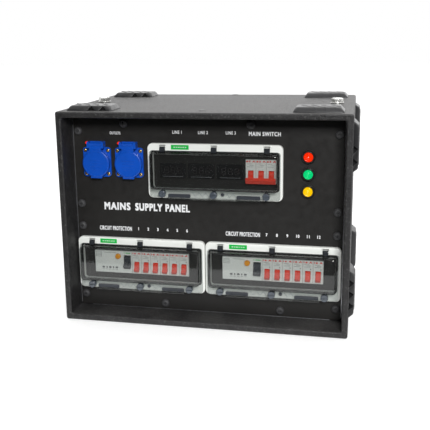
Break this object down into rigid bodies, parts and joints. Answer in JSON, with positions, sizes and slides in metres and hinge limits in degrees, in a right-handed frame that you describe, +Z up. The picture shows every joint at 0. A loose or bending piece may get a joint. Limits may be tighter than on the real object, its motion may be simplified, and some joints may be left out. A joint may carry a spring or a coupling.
{
  "type": "portable power distribution box",
  "caption": "Portable power distribution box: rubber sleeve case, recessed panel with breaker windows, lidded sockets, lamps, rear inlet and multi-pole outlets.",
  "frame": {"origin": "centre of the case's underside, on the surface that it stands on", "axes": "+Z up, -Y out of the operating front, +X to the right of someone facing the front, +Y out of the rear"},
  "size_m": [0.53, 0.34, 0.394],
  "materials": {
    "shell_rubber": "moulded, fine grain",
    "pad_rubber": "moulded, smooth ribs",
    "grip_plastic": "moulded",
    "panel_black": "satin powder coat",
    "screw_black": "black zinc, satin",
    "stainless": "stainless",
    "zinc_steel": "zinc plated",
    "socket_blue": "moulded",
    "brass": "turned",
    "lens_red": "translucent",
    "lens_green": "translucent",
    "lens_yellow": "translucent",
    "bezel_black": "moulded",
    "frame_white": "moulded",
    "lid_smoke": "smoked clear polycarbonate",
    "knob_smoke": "translucent blue-grey",
    "device_grey": "moulded",
    "toggle_red": "moulded",
    "lever_dark": "moulded",
    "button_orange": "moulded",
    "meter_black": "moulded",
    "inlet_red": "moulded",
    "diecast_grey": "die-cast, lacquered",
    "wire_black": "cable sheath"
  },
  "bodies": {
    "box": {"case_shell": "shell_rubber", "stacking_pads": "pad_rubber", "side_grips": "grip_plastic", "lifting_bolts": "stainless", "front_panel": "panel_black", "rear_panel": "panel_black", "rack_rails": "zinc_steel", "panel_screws": "screw_black", "socket_bodies": "socket_blue", "socket_screws": "brass", "lamp_red": "lens_red", "lamp_green": "lens_green", "lamp_yellow": "lens_yellow", "lamp_bezels": "bezel_black", "window_frames": "frame_white", "main_switch": "device_grey", "breakers": "device_grey", "rcds": "device_grey", "voltmeters": "meter_black", "din_rails": "zinc_steel", "inlet_housing": "inlet_red", "outlet_housings": "diecast_grey", "contacts": "brass", "hinge_pins": "stainless", "terminal_bars": "brass", "wiring_looms": "wire_black"},
    "socket_lid_1": {"socket_lid_1": "socket_blue"},
    "socket_lid_2": {"socket_lid_2": "socket_blue"},
    "window_lid_top": {"window_lid_top": "lid_smoke"},
    "lid_knob_top_1": {"lid_knob_top_1": "knob_smoke"},
    "lid_knob_top_2": {"lid_knob_top_2": "knob_smoke"},
    "lid_knob_top_3": {"lid_knob_top_3": "knob_smoke"},
    "window_lid_left": {"window_lid_left": "lid_smoke"},
    "lid_knob_left_1": {"lid_knob_left_1": "knob_smoke"},
    "lid_knob_left_2": {"lid_knob_left_2": "knob_smoke"},
    "lid_knob_left_3": {"lid_knob_left_3": "knob_smoke"},
    "window_lid_right": {"window_lid_right": "lid_smoke"},
    "lid_knob_right_1": {"lid_knob_right_1": "knob_smoke"},
    "lid_knob_right_2": {"lid_knob_right_2": "knob_smoke"},
    "lid_knob_right_3": {"lid_knob_right_3": "knob_smoke"},
    "main_lever": {"main_lever": "toggle_red"},
    "breaker_toggle_01": {"breaker_toggle_01": "toggle_red"},
    "breaker_toggle_02": {"breaker_toggle_02": "toggle_red"},
    "breaker_toggle_03": {"breaker_toggle_03": "toggle_red"},
    "breaker_toggle_04": {"breaker_toggle_04": "toggle_red"},
    "breaker_toggle_05": {"breaker_toggle_05": "toggle_red"},
    "breaker_toggle_06": {"breaker_toggle_06": "toggle_red"},
    "breaker_toggle_07": {"breaker_toggle_07": "toggle_red"},
    "breaker_toggle_08": {"breaker_toggle_08": "toggle_red"},
    "breaker_toggle_09": {"breaker_toggle_09": "toggle_red"},
    "breaker_toggle_10": {"breaker_toggle_10": "toggle_red"},
    "breaker_toggle_11": {"breaker_toggle_11": "toggle_red"},
    "breaker_toggle_12": {"breaker_toggle_12": "toggle_red"},
    "rcd_lever_1": {"rcd_lever_1": "lever_dark"},
    "test_button_1": {"test_button_1": "button_orange"},
    "rcd_lever_2": {"rcd_lever_2": "lever_dark"},
    "test_button_2": {"test_button_2": "button_orange"},
    "inlet_lid": {"inlet_lid": "inlet_red"},
    "outlet_lever_1": {"outlet_lever_1": "stainless"},
    "outlet_lever_2": {"outlet_lever_2": "stainless"}
  },
  "joints": [
    {"name": "socket_lid_1_hinge", "type": "hinge", "parent": "box", "child": "socket_lid_1", "pos_m": [-0.1975, -0.1282, 0.3205], "axis": [-1, 0, 0], "range_deg": [0, 110], "stiffness_Nm_per_rad": 0.004, "springref_deg": -20.05},
    {"name": "socket_lid_2_hinge", "type": "hinge", "parent": "box", "child": "socket_lid_2", "pos_m": [-0.137, -0.1282, 0.3205], "axis": [-1, 0, 0], "range_deg": [0, 110], "stiffness_Nm_per_rad": 0.004, "springref_deg": -20.05},
    {"name": "window_lid_top_hinge", "type": "hinge", "parent": "box", "child": "window_lid_top", "pos_m": [0.0185, -0.126, 0.3165], "axis": [-1, 0, 0], "range_deg": [0, 100]},
    {"name": "lid_knob_top_1_turn", "type": "hinge", "parent": "window_lid_top", "child": "lid_knob_top_1", "pos_m": [-0.074, -0.1308, 0.236], "axis": [0, -1, 0], "range_deg": [0, 90]},
    {"name": "lid_knob_top_2_turn", "type": "hinge", "parent": "window_lid_top", "child": "lid_knob_top_2", "pos_m": [0.0185, -0.1308, 0.236], "axis": [0, -1, 0], "range_deg": [0, 90]},
    {"name": "lid_knob_top_3_turn", "type": "hinge", "parent": "window_lid_top", "child": "lid_knob_top_3", "pos_m": [0.111, -0.1308, 0.236], "axis": [0, -1, 0], "range_deg": [0, 90]},
    {"name": "window_lid_left_hinge", "type": "hinge", "parent": "box", "child": "window_lid_left", "pos_m": [-0.1207, -0.126, 0.1395], "axis": [-1, 0, 0], "range_deg": [0, 100]},
    {"name": "lid_knob_left_1_turn", "type": "hinge", "parent": "window_lid_left", "child": "lid_knob_left_1", "pos_m": [-0.2132, -0.1308, 0.059], "axis": [0, -1, 0], "range_deg": [0, 90]},
    {"name": "lid_knob_left_2_turn", "type": "hinge", "parent": "window_lid_left", "child": "lid_knob_left_2", "pos_m": [-0.1207, -0.1308, 0.059], "axis": [0, -1, 0], "range_deg": [0, 90]},
    {"name": "lid_knob_left_3_turn", "type": "hinge", "parent": "window_lid_left", "child": "lid_knob_left_3", "pos_m": [-0.0282, -0.1308, 0.059], "axis": [0, -1, 0], "range_deg": [0, 90]},
    {"name": "window_lid_right_hinge", "type": "hinge", "parent": "box", "child": "window_lid_right", "pos_m": [0.1207, -0.126, 0.1395], "axis": [-1, 0, 0], "range_deg": [0, 100]},
    {"name": "lid_knob_right_1_turn", "type": "hinge", "parent": "window_lid_right", "child": "lid_knob_right_1", "pos_m": [0.0282, -0.1308, 0.059], "axis": [0, -1, 0], "range_deg": [0, 90]},
    {"name": "lid_knob_right_2_turn", "type": "hinge", "parent": "window_lid_right", "child": "lid_knob_right_2", "pos_m": [0.1207, -0.1308, 0.059], "axis": [0, -1, 0], "range_deg": [0, 90]},
    {"name": "lid_knob_right_3_turn", "type": "hinge", "parent": "window_lid_right", "child": "lid_knob_right_3", "pos_m": [0.2132, -0.1308, 0.059], "axis": [0, -1, 0], "range_deg": [0, 90]},
    {"name": "main_lever_throw", "type": "hinge", "parent": "box", "child": "main_lever", "pos_m": [0.1005, -0.118, 0.271], "axis": [-1, 0, 0], "range_deg": [0, 70]},
    {"name": "breaker_toggle_01_throw", "type": "hinge", "parent": "box", "child": "breaker_toggle_01", "pos_m": [-0.12965, -0.118, 0.094], "axis": [-1, 0, 0], "range_deg": [0, 70]},
    {"name": "breaker_toggle_02_throw", "type": "hinge", "parent": "box", "child": "breaker_toggle_02", "pos_m": [-0.11175, -0.118, 0.094], "axis": [-1, 0, 0], "range_deg": [0, 70]},
    {"name": "breaker_toggle_03_throw", "type": "hinge", "parent": "box", "child": "breaker_toggle_03", "pos_m": [-0.09385, -0.118, 0.094], "axis": [-1, 0, 0], "range_deg": [0, 70]},
    {"name": "breaker_toggle_04_throw", "type": "hinge", "parent": "box", "child": "breaker_toggle_04", "pos_m": [-0.07595, -0.118, 0.094], "axis": [-1, 0, 0], "range_deg": [0, 70]},
    {"name": "breaker_toggle_05_throw", "type": "hinge", "parent": "box", "child": "breaker_toggle_05", "pos_m": [-0.05805, -0.118, 0.094], "axis": [-1, 0, 0], "range_deg": [0, 70]},
    {"name": "breaker_toggle_06_throw", "type": "hinge", "parent": "box", "child": "breaker_toggle_06", "pos_m": [-0.04015, -0.118, 0.094], "axis": [-1, 0, 0], "range_deg": [0, 70]},
    {"name": "breaker_toggle_07_throw", "type": "hinge", "parent": "box", "child": "breaker_toggle_07", "pos_m": [0.11175, -0.118, 0.094], "axis": [-1, 0, 0], "range_deg": [0, 70]},
    {"name": "breaker_toggle_08_throw", "type": "hinge", "parent": "box", "child": "breaker_toggle_08", "pos_m": [0.12965, -0.118, 0.094], "axis": [-1, 0, 0], "range_deg": [0, 70]},
    {"name": "breaker_toggle_09_throw", "type": "hinge", "parent": "box", "child": "breaker_toggle_09", "pos_m": [0.14755, -0.118, 0.094], "axis": [-1, 0, 0], "range_deg": [0, 70]},
    {"name": "breaker_toggle_10_throw", "type": "hinge", "parent": "box", "child": "breaker_toggle_10", "pos_m": [0.16545, -0.118, 0.094], "axis": [-1, 0, 0], "range_deg": [0, 70]},
    {"name": "breaker_toggle_11_throw", "type": "hinge", "parent": "box", "child": "breaker_toggle_11", "pos_m": [0.18335, -0.118, 0.094], "axis": [-1, 0, 0], "range_deg": [0, 70]},
    {"name": "breaker_toggle_12_throw", "type": "hinge", "parent": "box", "child": "breaker_toggle_12", "pos_m": [0.20125, -0.118, 0.094], "axis": [-1, 0, 0], "range_deg": [0, 70]},
    {"name": "rcd_lever_1_throw", "type": "hinge", "parent": "box", "child": "rcd_lever_1", "pos_m": [-0.1479, -0.114, 0.1018], "axis": [-1, 0, 0], "range_deg": [0, 70]},
    {"name": "test_button_1_press", "type": "slide", "parent": "box", "child": "test_button_1", "axis": [0, 1, 0], "range_m": [0, 0.0025], "stiffness_N_per_m": 150, "springref_m": -0.001},
    {"name": "rcd_lever_2_throw", "type": "hinge", "parent": "box", "child": "rcd_lever_2", "pos_m": [0.0935, -0.114, 0.1018], "axis": [-1, 0, 0], "range_deg": [0, 70]},
    {"name": "test_button_2_press", "type": "slide", "parent": "box", "child": "test_button_2", "axis": [0, 1, 0], "range_m": [0, 0.0025], "stiffness_N_per_m": 150, "springref_m": -0.001},
    {"name": "inlet_lid_hinge", "type": "hinge", "parent": "box", "child": "inlet_lid", "pos_m": [-0.12, 0.146, 0.316], "axis": [1, 0, 0], "range_deg": [0, 110], "stiffness_Nm_per_rad": 0.01, "springref_deg": -20.05},
    {"name": "outlet_lever_1_swing", "type": "hinge", "parent": "box", "child": "outlet_lever_1", "pos_m": [-0.105, 0.121, 0.1], "axis": [1, 0, 0], "range_deg": [0, 80]},
    {"name": "outlet_lever_2_swing", "type": "hinge", "parent": "box", "child": "outlet_lever_2", "pos_m": [0.105, 0.121, 0.1], "axis": [1, 0, 0], "range_deg": [0, 80]}
  ]
}
